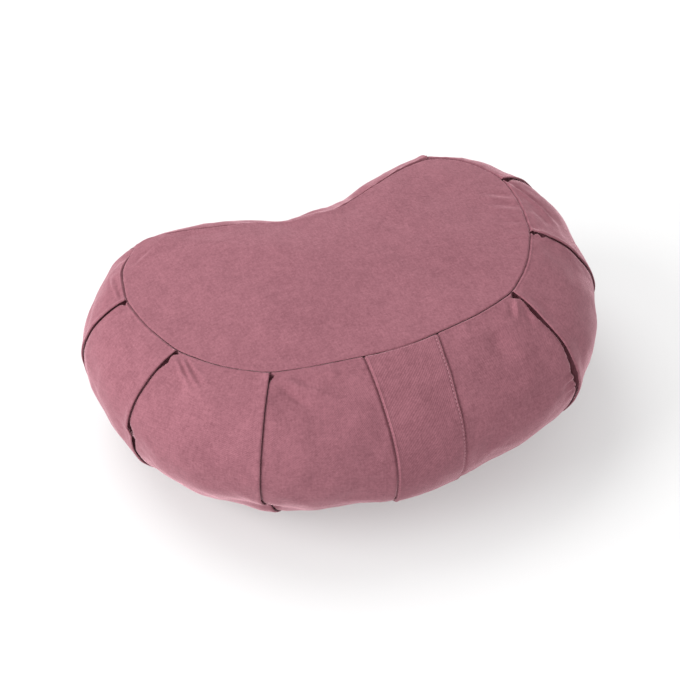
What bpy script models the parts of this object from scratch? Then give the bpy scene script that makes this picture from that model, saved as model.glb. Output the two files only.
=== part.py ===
"""Crescent meditation cushion: a filled, pleated side wall, a top and a bottom panel, a front band.

Metres, +Z up. The cushion stands on Z = 0 with its full front towards -Y and its hollow back
towards +Y. Everything is laid out along the seam: a place on it is a fraction of its length,
counted from the middle of the front towards +X.
"""
import math

import bmesh
import bpy
import numpy as np
from mathutils import Vector

# The seam outline, the same for both panels: a circle bent by a few waves into a crescent.
SEAM_RADIUS = 0.1352
FRONT_HEAVY = 0.0067
LONG_NOT_DEEP = -0.0473
HOLLOW_BACK = 0.0176
SQUARE_HORNS = -0.0031
FLAT_FRONT = -0.0035
ROUND_TIPS = 0.0053
FULL_HORNS = -0.0019
SOFT_WAIST = 0.0007
SEAM_WAVES = (FRONT_HEAVY, LONG_NOT_DEEP, HOLLOW_BACK, SQUARE_HORNS,
              FLAT_FRONT, ROUND_TIPS, FULL_HORNS, SOFT_WAIST)
# A stuffed cover is never quite even: small sideways waves, the same way round.
SEAM_SWAY = (-0.0019, 0.0007, 0.0006)

# Heights: the top seam dips at both tips and rises over the hollow back.
TOP_SEAM_HEIGHT = 0.1491
TIP_DROP = 0.0073
TIP_SWAY = 0.0029
BACK_RISE = 0.0038
BOTTOM_SEAM_HEIGHT = 0.0060
BELLY_HEIGHT = 0.0847
WALL_CLEARANCE = 0.0022
BOTTOM_GROOVE = 0.0120

# The top panel rises from its seam in a rolled rim and then in a flatter crown.
CROWN = 0.0080
CROWN_SHAPE = 2.4
ROLLED_RIM = 0.0022
RIM_SHAPE = 6.0

# How far the filled wall stands out past the seam at the front, the tips and the hollow back.
BELLY_FRONT = 0.0785
BELLY_TIPS = 0.0480
BELLY_BACK = 0.0385
BELLY_SWAY = 0.0028
BELLY_FULLNESS = 1.41

# Cloth: a sheet of twill with its turned edges, and the air between two pieces.
CLOTH = 0.0020
SEAM_GAP = 0.0004
BED_GAP = 0.0006
BAND_CLOTH = 0.0026
BAND_GAP = 0.0005
BAND_PRESSED = 0.5
PRESSED_SHAPE = 6.0

# Pleats: where each one meets the top seam, which way its folded edge faces along the seam
# (+1 towards +X at the front), how the fold leans as it goes out, and how wide it gapes.
PLEATS = (
    {"place": 0.1222, "faces": -1, "lean": -0.10, "gape": 0.0022},
    {"place": 0.2083, "faces": -1, "lean": -0.13, "gape": 0.0010},
    {"place": 0.2861, "faces": -1, "lean": -0.02, "gape": 0.0006},
    {"place": 0.3611, "faces": -1, "lean": 0.00, "gape": 0.0020},
    {"place": 0.6500, "faces": 1, "lean": 0.00, "gape": 0.0010},
    {"place": 0.7222, "faces": 1, "lean": 0.00, "gape": 0.0006},
    {"place": 0.8028, "faces": 1, "lean": -0.16, "gape": 0.0022},
    {"place": 0.8889, "faces": 1, "lean": -0.06, "gape": 0.0008},
)
BAND_EDGES = (
    {"place": 0.9694, "lean": 0.12},
    {"place": 1.0361, "lean": -0.27},
)

# One pleat, cut across the fold, for a folded edge that faces +1. Each row is one line of
# points down the wall: how far along from the edge at the seam, how far along on the wall,
# and how far it stands out of the wall.
PLEAT_SECTION = (
    {"name": "over_shoulder", "seam": -0.0280, "along": -0.0280, "proud": -0.0004},
    {"name": "over_rise", "seam": -0.0130, "along": -0.0130, "proud": 0.0006},
    {"name": "over_edge", "seam": -0.0045, "along": -0.0045, "proud": 0.0014},
    {"name": "lip_top", "seam": -0.0018, "along": -0.0012, "proud": 0.0018},
    {"name": "lip_nose", "seam": -0.0012, "along": 0.0000, "proud": 0.0010},
    {"name": "lip_under", "seam": -0.0006, "along": -0.0012, "proud": 0.0000},
    {"name": "pocket_roof", "seam": 0.0000, "along": -0.0060, "proud": -0.0006},
    {"name": "pocket_end", "seam": 0.0006, "along": -0.0070, "proud": -0.0014},
    {"name": "pocket_floor", "seam": 0.0012, "along": -0.0055, "proud": -0.0022},
    {"name": "mouth", "seam": 0.0020, "along": 0.0015, "proud": -0.0029},
    {"name": "under_dip", "seam": 0.0100, "along": 0.0100, "proud": -0.0028},
    {"name": "under_rise", "seam": 0.0240, "along": 0.0240, "proud": -0.0010},
)
OVER_CLOTH = ("over_shoulder", "over_rise", "over_edge", "lip_top", "lip_nose", "lip_under")

# Mesh spacing: columns along the wall between pleats, and rows down it from seam to seam.
COLUMN_SPACING = 0.0150
WALL_ROWS = (0.0, 0.022, 0.06, 0.115, 0.17, 0.23, 0.29, 0.35, 0.41, 0.47, 0.53,
             0.59, 0.65, 0.71, 0.77, 0.83, 0.885, 0.94, 0.978, 1.0)
PLEAT_STARTS = 0.09
PANEL_RINGS = (0.975, 0.93, 0.80, 0.60, 0.38, 0.17)
BOTTOM_RING = 0.90
SEAM_SAMPLES = 1440
STEP_ALONG = 0.004
STEP_DOWN = 0.016
SMOOTH_ENDS = 0.03
SHARP_ANGLE = math.radians(40.0)

# The cloth's colour and how it takes the light.
ROSE = (0.262, 0.118, 0.141, 1.0)
ROSE_BAND = (0.250, 0.112, 0.135, 1.0)
ROUGHNESS = 0.88


def seam_table():
    """Points and outward directions round the seam at even steps of its length."""
    angle = np.linspace(0.0, 2.0 * math.pi, SEAM_SAMPLES + 1)
    radius = np.full_like(angle, SEAM_RADIUS)
    for order, wave in enumerate(SEAM_WAVES, start=1):
        radius += wave * np.cos(order * angle)
    for order, wave in enumerate(SEAM_SWAY, start=1):
        radius += wave * np.sin(order * angle)
    x, y = radius * np.sin(angle), -radius * np.cos(angle)
    length = np.concatenate([[0.0], np.cumsum(np.hypot(np.diff(x), np.diff(y)))])
    even = np.linspace(0.0, length[-1], SEAM_SAMPLES + 1)
    x, y = np.interp(even, length, x), np.interp(even, length, y)
    dx, dy = np.gradient(x, even), np.gradient(y, even)
    dx[0] = dx[-1] = (dx[1] + dx[-2]) / 2.0
    dy[0] = dy[-1] = (dy[1] + dy[-2]) / 2.0
    return length[-1], even / length[-1], x, y, dy, -dx


SEAM_LENGTH, TABLE_AT, TABLE_X, TABLE_Y, TABLE_OUT_X, TABLE_OUT_Y = seam_table()


def seam_at(place):
    """The seam's point in plan, and the direction straight out of it, at a place along it."""
    at = place % 1.0
    point = Vector((np.interp(at, TABLE_AT, TABLE_X), np.interp(at, TABLE_AT, TABLE_Y)))
    out = Vector((np.interp(at, TABLE_AT, TABLE_OUT_X), np.interp(at, TABLE_AT, TABLE_OUT_Y)))
    return point, out.normalized()


def backness(out):
    """1 where the wall faces the hollow back, 0 over the front half."""
    return max(0.0, out.y) ** 3


def top_seam_height(place):
    point, out = seam_at(place)
    tip = point.x / max(TABLE_X)
    return TOP_SEAM_HEIGHT - TIP_DROP * tip ** 2 + TIP_SWAY * tip + BACK_RISE * backness(out)


def belly(out):
    """How far the filled wall stands out, from the direction it faces."""
    towards_front = -out.y
    ends = (BELLY_FRONT + BELLY_BACK) / 2.0
    swing = (BELLY_FRONT - BELLY_BACK) / 2.0
    return ends + swing * towards_front - (ends - BELLY_TIPS) * out.x ** 2 + BELLY_SWAY * out.x


def lean_at(place):
    """The lean of the cloth between one fold line and the next."""
    marks = sorted((row["place"], row["lean"]) for row in PLEATS + BAND_EDGES)
    places = [mark[0] for mark in marks]
    leans = [mark[1] for mark in marks]
    places = [place - 1.0 for place in places] + places + [place + 1.0 for place in places]
    return float(np.interp(place, places, leans * 3))


def bare_wall(place, down):
    """A point of the wall before pleating; down runs from 0 at the top seam to 1 at the bottom."""
    point, out = seam_at(place)
    turn = math.pi * (0.5 - down)
    reach = belly(out) * max(0.0, math.cos(turn)) ** BELLY_FULLNESS
    side = Vector((-out.y, out.x))
    flat = point + (out + side * math.tan(lean_at(place))) * reach
    if turn > 0.0:
        height = BELLY_HEIGHT + (top_seam_height(place) - BELLY_HEIGHT) * math.sin(turn)
    else:
        height = BELLY_HEIGHT + (BELLY_HEIGHT - WALL_CLEARANCE) * math.sin(turn)
        groove = max(0.0, 1.0 - reach / BOTTOM_GROOVE)
        height += (BOTTOM_SEAM_HEIGHT - WALL_CLEARANCE) * groove ** 2
    return Vector((flat.x, flat.y, height))


def wall_out(place, down):
    """The direction straight out of the bare wall."""
    middle = min(max(down, SMOOTH_ENDS), 1.0 - SMOOTH_ENDS)
    along = bare_wall(place + STEP_ALONG, middle) - bare_wall(place - STEP_ALONG, middle)
    across = bare_wall(place, middle + STEP_DOWN) - bare_wall(place, middle - STEP_DOWN)
    return across.cross(along).normalized()


def rise_from_seam(down):
    """0 at both seams, where a pleat is sewn flat, and 1 where it is free."""
    near = min(down, 1.0 - down) / PLEAT_STARTS
    near = min(near, 1.0)
    return near * near * (3.0 - 2.0 * near)


def wall_columns():
    """Every line of points down the wall: its place, and the pleat row that it belongs to."""
    columns = []
    fixed = [(row["place"], row["place"], None) for row in BAND_EDGES]
    for pleat in PLEATS:
        edges = [pleat["place"] + pleat["faces"] * part["seam"] / SEAM_LENGTH
                 for part in (PLEAT_SECTION[0], PLEAT_SECTION[-1])]
        fixed.append((min(edges), max(edges), pleat))
    fixed.sort(key=lambda item: item[0])
    for index, (start, end, pleat) in enumerate(fixed):
        if pleat is None:
            columns.append({"place": start, "pleat": None, "part": None})
        else:
            parts = PLEAT_SECTION if pleat["faces"] > 0 else PLEAT_SECTION[::-1]
            for part in parts:
                columns.append({"place": pleat["place"], "pleat": pleat, "part": part})
        following = fixed[(index + 1) % len(fixed)][0]
        if following < end:
            following += 1.0
        room = (following - end) * SEAM_LENGTH
        count = max(1, round(room / COLUMN_SPACING))
        for step in range(1, count):
            place = end + (following - end) * step / count
            columns.append({"place": place, "pleat": None, "part": None})
    return columns


COLUMNS = wall_columns()


def column_point(column, down):
    """A point of the pleated wall on one column."""
    pleat, part = column["pleat"], column["part"]
    if pleat is None:
        return bare_wall(column["place"], down)
    free = rise_from_seam(down)
    along = part["seam"] + (part["along"] - part["seam"]) * free
    proud = part["proud"] * free
    if part["name"] in OVER_CLOTH:
        open_here = math.sin(math.pi * down) ** 2
        proud += open_here * pleat["gape"]
    place = pleat["place"] + pleat["faces"] * along / SEAM_LENGTH
    return bare_wall(place, down) + wall_out(place, down) * proud


def seam_place(column):
    """Where a column starts on the seam."""
    if column["pleat"] is None:
        return column["place"]
    return column["place"] + column["pleat"]["faces"] * column["part"]["seam"] / SEAM_LENGTH


def crown_height(place, scale):
    """Height of the crowned top, from its middle at scale 0 to the rolled rim near scale 1."""
    edge = top_seam_height(place)
    middle = TOP_SEAM_HEIGHT + CROWN
    return middle + (edge - middle) * scale ** CROWN_SHAPE + ROLLED_RIM * scale ** RIM_SHAPE


def panel_point(place, scale, lift):
    """A point of the crowned top; past the outermost ring it runs straight down to the seam."""
    point, _ = seam_at(place)
    rim = PANEL_RINGS[0]
    height = crown_height(place, min(scale, rim))
    if scale > rim:
        height += (top_seam_height(place) - height) * (scale - rim) / (1.0 - rim)
    return Vector((point.x * scale, point.y * scale, height + lift))


def bottom_point(place, scale, lift):
    """A point of the underside: flat on the floor inside BOTTOM_RING, up to the seam outside."""
    point, _ = seam_at(place)
    height = BOTTOM_SEAM_HEIGHT if scale > BOTTOM_RING else 0.0
    return Vector((point.x * scale, point.y * scale, height + lift))


def edge_scale(place):
    """The scale about the middle that draws a panel's edge in from the wall."""
    point, out = seam_at(place)
    return 1.0 - SEAM_GAP / point.dot(out)


def ring(mesh, points):
    """A closed line of points."""
    verts = [mesh.verts.new(point) for point in points]
    edges = [mesh.edges.new((verts[index - 1], verts[index])) for index in range(len(verts))]
    return {"verts": verts, "edges": edges}


def skin(mesh, rings):
    """Bridges each ring to the next with one quad for each pair of points."""
    for upper, lower in zip(rings[:-1], rings[1:]):
        count = len(upper["verts"])
        for index in range(count):
            mesh.faces.new((upper["verts"][index - 1], upper["verts"][index],
                            lower["verts"][index], lower["verts"][index - 1]))


def close_flat(mesh, closing):
    """One flat face over a ring."""
    mesh.faces.new(closing["verts"])


def close_crown(mesh, closing, point):
    """A fan from a ring to one point in its middle."""
    middle = mesh.verts.new(point)
    verts = closing["verts"]
    for index in range(len(verts)):
        mesh.faces.new((verts[index - 1], verts[index], middle))


def cloth_material(name, colour):
    material = bpy.data.materials.new(name)
    material.use_nodes = True
    shader = material.node_tree.nodes["Principled BSDF"]
    shader.inputs["Base Color"].default_value = colour
    shader.inputs["Roughness"].default_value = ROUGHNESS
    shader.inputs["Metallic"].default_value = 0.0
    return material


def finished(mesh, name, colour):
    """Turns the faces outwards and makes the object."""
    bmesh.ops.recalc_face_normals(mesh, faces=mesh.faces)
    data = bpy.data.meshes.new(name)
    mesh.to_mesh(data)
    mesh.free()
    data.shade_smooth()
    data.set_sharp_from_angle(angle=SHARP_ANGLE)
    piece = bpy.data.objects.new(name, data)
    bpy.context.scene.collection.objects.link(piece)
    data.materials.append(cloth_material(name, colour))
    return piece


def cushion_body():
    """The filled wall, with a shallow bed above and below for the two panels."""
    mesh = bmesh.new()
    places = [seam_place(column) for column in COLUMNS]
    bed = -CLOTH - BED_GAP
    rings = []
    for scale in reversed(PANEL_RINGS):
        rings.append(ring(mesh, [panel_point(place, scale, bed) for place in places]))
    rings.append(ring(mesh, [panel_point(place, 1.0, bed) for place in places]))
    for down in WALL_ROWS:
        rings.append(ring(mesh, [column_point(column, down) for column in COLUMNS]))
    rings.append(ring(mesh, [bottom_point(place, 1.0, -bed) for place in places]))
    rings.append(ring(mesh, [bottom_point(place, BOTTOM_RING, -bed) for place in places]))
    skin(mesh, rings)
    close_crown(mesh, rings[0], Vector((0.0, 0.0, TOP_SEAM_HEIGHT + CROWN + bed)))
    close_flat(mesh, rings[-1])
    return finished(mesh, "cushion_body", ROSE)


def top_panel():
    """The crowned crescent of cloth on top, its edge turned down into the seam."""
    mesh = bmesh.new()
    places = [seam_place(column) for column in COLUMNS]
    inset = [edge_scale(place) for place in places]
    upper = [ring(mesh, [panel_point(place, scale, 0.0) for place in places])
             for scale in reversed(PANEL_RINGS)]
    edges = [ring(mesh, [panel_point(place, scale, lift) for place, scale in zip(places, inset)])
             for lift in (0.0, -CLOTH)]
    lower = [ring(mesh, [panel_point(place, scale, -CLOTH) for place in places])
             for scale in PANEL_RINGS]
    skin(mesh, upper + edges + lower)
    close_crown(mesh, upper[0], Vector((0.0, 0.0, TOP_SEAM_HEIGHT + CROWN)))
    close_crown(mesh, lower[-1], Vector((0.0, 0.0, TOP_SEAM_HEIGHT + CROWN - CLOTH)))
    return finished(mesh, "top_panel", ROSE)


def bottom_panel():
    """The same crescent below, flat where the cushion rests."""
    mesh = bmesh.new()
    places = [seam_place(column) for column in COLUMNS]
    inset = [edge_scale(place) for place in places]
    rings = []
    for scales, lift in (([BOTTOM_RING] * len(places), 0.0), (inset, 0.0),
                         (inset, CLOTH), ([BOTTOM_RING] * len(places), CLOTH)):
        rings.append(ring(mesh, [bottom_point(place, scale, lift)
                                 for place, scale in zip(places, scales)]))
    skin(mesh, rings)
    close_flat(mesh, rings[0])
    close_flat(mesh, rings[-1])
    return finished(mesh, "bottom_panel", ROSE)


def front_band():
    """The doubled strip over the middle of the front wall."""
    mesh = bmesh.new()
    start, end = BAND_EDGES[0]["place"], BAND_EDGES[1]["place"]
    places = [column["place"] for column in COLUMNS
              if column["pleat"] is None and start <= column["place"] <= end]
    rows = [down for down in WALL_ROWS if 0.0 < down < 1.0]
    loops = []
    for down in rows:
        cloth = BAND_CLOTH * (1.0 - BAND_PRESSED * down ** PRESSED_SHAPE)
        inner, outer = [], []
        for place in places:
            base, out = bare_wall(place, down), wall_out(place, down)
            inner.append(base + out * BAND_GAP)
            outer.append(base + out * (BAND_GAP + cloth))
        loops.append(ring(mesh, inner + outer[::-1]))
    skin(mesh, loops)
    close_flat(mesh, loops[0])
    close_flat(mesh, loops[-1])
    return finished(mesh, "front_band", ROSE_BAND)


def centre_on_origin(pieces):
    """Moves the meshes so that the middle of the whole cushion's footprint is the origin."""
    corners = np.array([vert.co for piece in pieces for vert in piece.data.vertices])
    middle = (corners.min(axis=0) + corners.max(axis=0)) / 2.0
    for piece in pieces:
        for vert in piece.data.vertices:
            vert.co.x -= middle[0]
            vert.co.y -= middle[1]


for old in list(bpy.data.objects):
    bpy.data.objects.remove(old)

centre_on_origin([cushion_body(), top_panel(), bottom_panel(), front_band()])
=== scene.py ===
import math

import bmesh
import bpy
import numpy as np
from mathutils import Matrix, Vector


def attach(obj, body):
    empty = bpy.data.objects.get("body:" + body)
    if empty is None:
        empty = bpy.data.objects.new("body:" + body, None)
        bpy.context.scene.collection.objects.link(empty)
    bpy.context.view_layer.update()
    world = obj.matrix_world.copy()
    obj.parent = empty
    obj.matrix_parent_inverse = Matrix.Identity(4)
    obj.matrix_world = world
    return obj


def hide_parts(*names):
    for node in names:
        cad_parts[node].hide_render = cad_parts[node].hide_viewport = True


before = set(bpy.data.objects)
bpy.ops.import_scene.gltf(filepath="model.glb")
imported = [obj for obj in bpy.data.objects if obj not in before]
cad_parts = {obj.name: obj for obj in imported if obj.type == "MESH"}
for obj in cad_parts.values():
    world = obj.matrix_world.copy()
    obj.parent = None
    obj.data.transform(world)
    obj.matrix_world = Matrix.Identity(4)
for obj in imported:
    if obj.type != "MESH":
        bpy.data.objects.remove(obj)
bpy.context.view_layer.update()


# The place: a plain pale sweep of floor, and a soft light from the left and behind, as in a small
# photo studio. The camera looks down from the left of the band at the photograph's angle.
FLOOR_SIZE = 12.0
FLOOR_WHITE = (0.48, 0.48, 0.48, 1.0)
FLOOR_GLOW = 0.34
FLOOR_ROUGHNESS = 0.9
FLOOR_SHINE = 0.1
WORLD_WHITE = (1.0, 1.0, 1.0, 1.0)
WORLD_STRENGTH = 0.89
CAMERA_PLACE = (-0.5063, -1.1553, 1.2916)
CAMERA_TURN = (46.207, 0.187, -23.149)
CAMERA_LENS = 105.88
LIGHTS_AIM = (0.0, 0.0, 0.05)
SOFT_LIGHTS = (
    {"name": "window_light", "place": (-4.4, 0.5, 2.4), "size": 3.8, "power": 228.0},
    {"name": "ceiling_light", "place": (-1.0, 3.1, 4.4), "size": 3.8, "power": 140.0},
    {"name": "low_fill", "place": (-2.2, -3.6, 0.4), "size": 1.4, "power": 46.0},
)

scene = bpy.context.scene
scene.view_settings.view_transform = "Standard"
scene.world = bpy.data.worlds.new("studio_air")
scene.world.use_nodes = True
air = scene.world.node_tree.nodes["Background"]
air.inputs["Color"].default_value = WORLD_WHITE
air.inputs["Strength"].default_value = WORLD_STRENGTH

for row in SOFT_LIGHTS:
    lamp = bpy.data.lights.new(row["name"], "AREA")
    lamp.shape = "DISK"
    lamp.size = row["size"]
    lamp.energy = row["power"]
    holder = bpy.data.objects.new(row["name"], lamp)
    scene.collection.objects.link(holder)
    holder.location = row["place"]
    towards = Vector(LIGHTS_AIM) - Vector(row["place"])
    holder.rotation_euler = towards.to_track_quat("-Z", "Y").to_euler()

camera = bpy.data.objects.new("camera", bpy.data.cameras.new("camera"))
scene.collection.objects.link(camera)
camera.location = CAMERA_PLACE
camera.rotation_euler = [math.radians(angle) for angle in CAMERA_TURN]
camera.data.lens = CAMERA_LENS
scene.camera = camera


def linked(name, mesh):
    """A new object in the scene for a finished mesh."""
    piece = bpy.data.objects.new(name, mesh)
    scene.collection.objects.link(piece)
    return piece


sweep = bmesh.new()
bmesh.ops.create_grid(sweep, x_segments=1, y_segments=1, size=FLOOR_SIZE / 2.0)
sweep_mesh = bpy.data.meshes.new("studio_floor")
sweep.to_mesh(sweep_mesh)
sweep.free()
floor = linked("studio_floor", sweep_mesh)
floor_paint = bpy.data.materials.new("pale_floor")
floor_paint.use_nodes = True
floor_shader = floor_paint.node_tree.nodes["Principled BSDF"]
floor_shader.inputs["Base Color"].default_value = FLOOR_WHITE
floor_shader.inputs["Emission Color"].default_value = WORLD_WHITE
floor_shader.inputs["Emission Strength"].default_value = FLOOR_GLOW
floor_shader.inputs["Roughness"].default_value = FLOOR_ROUGHNESS
floor_shader.inputs["Specular IOR Level"].default_value = FLOOR_SHINE
sweep_mesh.materials.append(floor_paint)


# The cover cloth: rose cotton twill, matt, with fine diagonal wales, a soft nap that catches the
# light at a glancing angle, and the faint uneven shade of washed and handled cotton.
ROSE_WORN = (0.288, 0.115, 0.142)
ROSE_DEEP = (0.184, 0.066, 0.085)
YARN_SIZE = 0.0011
YARN_RUN = 0.16
YARN_SHADE = 0.8
HEATHER_SIZE = 0.0019
HEATHER_SHADE = 1.8
BLOTCH_SIZE = 0.009
BLOTCH_SHADE = 0.9
PATCH_SIZE = 0.060
PATCH_SHADE = 0.6
DRIFT_SIZE = 0.030
DRIFT_TURNS = 7.0
CLOTH_ROUGHNESS = 0.80
CLOTH_SHINE = 0.18
NAP_WEIGHT = 0.90
NAP_ROUGHNESS = 0.30
NAP_TINT = (1.0, 0.60, 0.67, 1.0)
WALE_PITCH = 0.0018
WALE_DEPTH = 0.00030
WALE_SHOW = 0.10
CLOTH_WORN = 0.50


class Term:
    """A value in a material's node tree that takes part in ordinary Python sums."""

    def __init__(self, tree, socket):
        self.tree = tree
        self.socket = socket

    def node(self, kind, settings=None, out=0, **inputs):
        """Adds a node, sets it up, feeds its sockets, and gives one of its outputs."""
        made = self.tree.nodes.new(kind)
        for key, value in (settings or {}).items():
            setattr(made, key, value)
        for key, value in inputs.items():
            target = made.inputs[int(key[1:]) if key[1:].isdigit() else key.replace("_", " ")]
            if isinstance(value, Term):
                self.tree.links.new(value.socket, target)
            else:
                target.default_value = value
        return Term(self.tree, made.outputs[out])

    def math(self, operation, other=0.0, first=None):
        """A sum of this term, or of the first value given, with another."""
        left = self if first is None else first
        return self.node("ShaderNodeMath", {"operation": operation}, i0=left, i1=other)

    def __add__(self, other):
        return self.math("ADD", other)

    __radd__ = __add__

    def __sub__(self, other):
        return self.math("SUBTRACT", other)

    def __rsub__(self, other):
        return self.math("SUBTRACT", self, first=other)

    def __mul__(self, other):
        return self.math("MULTIPLY", other)

    __rmul__ = __mul__

    def sine(self):
        return self.math("SINE")

    def clamped(self):
        return self.node("ShaderNodeClamp", Value=self)

    def feeds(self, shader, socket):
        """Drives one of the shader's sockets with this term."""
        self.tree.links.new(self.socket, shader.inputs[socket])

    def blend(self, low, high):
        """Between two colours, by this value."""
        ends = [colour if isinstance(colour, Term) else (*colour, 1.0) for colour in (low, high)]
        return self.node("ShaderNodeMix", {"data_type": "RGBA"}, out=2, i0=self, i6=ends[0],
                         i7=ends[1])


def start_material(name):
    """A new material, with its shader and a first term to build on."""
    material = bpy.data.materials.new(name)
    material.use_nodes = True
    tree = material.node_tree
    return material, tree.nodes["Principled BSDF"], Term(tree, None)


def cloth_material(name, wale_pitch, wale_depth, wale_show, fade_and_shade):
    """Cotton twill, whose UV map is laid out in metres along and down the cloth. The wales are
    set by their pitch, depth and show; the last argument lies between 0, deep rose, and 1, faded rose,
    and the band's lower setting is a painted shade."""
    material, shader, root = start_material(name)
    cloth = root.node("ShaderNodeUVMap")
    solid = root.node("ShaderNodeTexCoord", out="Object")
    along = root.node("ShaderNodeSeparateXYZ", out=0, Vector=cloth)
    down = root.node("ShaderNodeSeparateXYZ", out=1, Vector=cloth)

    def cloudy(size, detail, seed, rough=0.5):
        return root.node("ShaderNodeTexNoise", {"noise_dimensions": "4D"}, Vector=solid, W=seed,
                         Scale=1.0 / size, Detail=detail, Roughness=rough)

    def threads(stretch_along, stretch_down, seed):
        stretched = root.node("ShaderNodeCombineXYZ", X=along * stretch_along,
                              Y=down * stretch_down, Z=0.0)
        return root.node("ShaderNodeTexNoise", {"noise_dimensions": "4D"}, Vector=stretched,
                         W=seed, Scale=1.0 / YARN_SIZE, Detail=2.0, Roughness=0.6)

    drift = cloudy(DRIFT_SIZE, 2.0, 1.7) * DRIFT_TURNS
    wales = ((along + down) * (2.0 * math.pi / wale_pitch) + drift).sine() * 0.5 + 0.5
    weft = threads(1.0, YARN_RUN, 4.2)
    warp = threads(YARN_RUN, 1.0, 6.4)
    heather = cloudy(HEATHER_SIZE, 3.0, 2.9, 0.75)
    blotches = cloudy(BLOTCH_SIZE, 3.0, 3.1, 0.70)
    patches = cloudy(PATCH_SIZE, 3.0, 8.8)
    # The last term shifts the whole colour between deep and faded rose; the band's lower setting paints
    # it a shade darker than the wall, a painted shade.
    shade = ((patches - 0.5) * PATCH_SHADE + (blotches - 0.5) * BLOTCH_SHADE
             + (heather - 0.5) * HEATHER_SHADE + (weft - 0.5) * YARN_SHADE
             + (warp - 0.5) * YARN_SHADE + (wales - 0.5) * wale_show + fade_and_shade)
    colour = shade.clamped().blend(ROSE_DEEP, ROSE_WORN)
    colour.feeds(shader, "Base Color")
    (blotches * 0.14 + CLOTH_ROUGHNESS).feeds(shader, "Roughness")
    grain = wales * 0.45 + weft * 0.6 + warp * 0.6 + heather * 0.5
    weave = root.node("ShaderNodeBump", Strength=0.8, Distance=wale_depth, Height=grain)
    weave.feeds(shader, "Normal")
    shader.inputs["Specular IOR Level"].default_value = CLOTH_SHINE
    shader.inputs["Sheen Weight"].default_value = NAP_WEIGHT
    shader.inputs["Sheen Roughness"].default_value = NAP_ROUGHNESS
    shader.inputs["Sheen Tint"].default_value = NAP_TINT
    return material


rose_twill = cloth_material("rose_twill", WALE_PITCH, WALE_DEPTH, WALE_SHOW, CLOTH_WORN)


# The seam outline that the whole cushion hangs on: both crescent panels are cut to it and the side
# wall is sewn round it. The waves and heights are the pattern's own, as in the part's solids. The
# nudges, the depth it is drawn in and the left tip's facet are how the sewn cloth came out.
SEAM_RADIUS = 0.1352
SEAM_WAVES = (0.0067, -0.0473, 0.0176, -0.0031, -0.0035, 0.0053, -0.0019, 0.0007)
SEAM_SWAY = (-0.0019, 0.0007, 0.0006)
SEAM_SAMPLES = 1440
CENTRE_X = -0.0001
CENTRE_Y = 0.0233
TOP_SEAM_HEIGHT = 0.1491
TIP_DROP = 0.0073
TIP_SWAY = 0.0029
BACK_RISE = 0.0038
PLEAT_PULL = 0.0013
PULL_WIDTH = 0.013
PLEAT_PLACES = (0.1222, 0.2083, 0.2861, 0.3611, 0.6500, 0.7222, 0.8028, 0.8889)
SEAM_NUDGES = (
    {"place": 0.6720, "out": 0.0068, "width": 0.024},
    {"place": 0.5900, "out": -0.0062, "width": 0.036},
    {"place": 0.6490, "out": 0.0074, "width": 0.013},
    {"place": 0.4150, "out": -0.0032, "width": 0.030},
)
SEAM_DRAWN = (
    (0.00, 0.7), (0.03, 0.9), (0.13, 1.2), (0.20, 1.6), (0.27, 1.2), (0.35, 1.8), (0.37, 4.6),
    (0.42, 4.2), (0.45, 2.8), (0.475, 1.0), (0.53, 1.0), (0.56, 2.2), (0.60, 3.0), (0.64, 2.8),
    (0.66, 2.0), (0.70, 1.6), (0.74, 1.0), (0.80, 0.7), (0.83, 0.5), (0.88, 0.35), (0.94, 0.45),
    (1.00, 0.8),
)
FACET_FROM = (-0.1700, 0.0960)
FACET_WAY = (-0.5800, 0.8150)
FACET_SLOPE = 0.20
FACET_SOFT = 0.0008


def bell(distance, width):
    """1 at no distance, falling smoothly to nothing past width."""
    return np.exp(-(distance / width) ** 2)


def seam_table():
    """Points and outward directions round the seam at even steps of its length."""
    angle = np.linspace(0.0, 2.0 * math.pi, SEAM_SAMPLES + 1)
    radius = np.full_like(angle, SEAM_RADIUS)
    for order, wave in enumerate(SEAM_WAVES, start=1):
        radius += wave * np.cos(order * angle)
    for order, wave in enumerate(SEAM_SWAY, start=1):
        radius += wave * np.sin(order * angle)
    x, y = radius * np.sin(angle), -radius * np.cos(angle)
    length = np.concatenate([[0.0], np.cumsum(np.hypot(np.diff(x), np.diff(y)))])
    even = np.linspace(0.0, length[-1], SEAM_SAMPLES + 1)
    x, y = np.interp(even, length, x), np.interp(even, length, y)
    dx, dy = np.gradient(x, even), np.gradient(y, even)
    dx[0] = dx[-1] = (dx[1] + dx[-2]) / 2.0
    dy[0] = dy[-1] = (dy[1] + dy[-2]) / 2.0
    pull = np.full_like(even, -PLEAT_PULL / 3.0)
    for place in PLEAT_PLACES:
        pull += PLEAT_PULL * bell(even - place * length[-1], PULL_WIDTH)
    nudge = np.zeros_like(even)
    for row in SEAM_NUDGES:
        nudge += row["out"] * bell(even - row["place"] * length[-1], row["width"])
    x, y = x + dy * (pull + nudge), y - dx * (pull + nudge)
    return length[-1], even / length[-1], x, y, dy, -dx, nudge


(SEAM_LENGTH, TABLE_AT, TABLE_X, TABLE_Y, TABLE_OUT_X, TABLE_OUT_Y, TABLE_NUDGE) = seam_table()


def seam_drawn(place):
    """How deep the seam is drawn in at a place along it."""
    return np.interp(np.mod(place, 1.0), *zip(*SEAM_DRAWN))


def seam_at(place):
    """The seam in plan at places along it, about its own middle, and the way straight out."""
    at = np.mod(place, 1.0)
    x, y = np.interp(at, TABLE_AT, TABLE_X), np.interp(at, TABLE_AT, TABLE_Y)
    out_x, out_y = np.interp(at, TABLE_AT, TABLE_OUT_X), np.interp(at, TABLE_AT, TABLE_OUT_Y)
    size = np.hypot(out_x, out_y)
    return x, y, out_x / size, out_y / size


def facet_drop(x, y):
    """How far the left tip falls away past its crease, at points about the cushion's middle."""
    beyond = (x - FACET_FROM[0]) * FACET_WAY[0] + (y - FACET_FROM[1]) * FACET_WAY[1]
    return FACET_SLOPE * (np.hypot(beyond, FACET_SOFT) + beyond - FACET_SOFT) / 2.0


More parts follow.
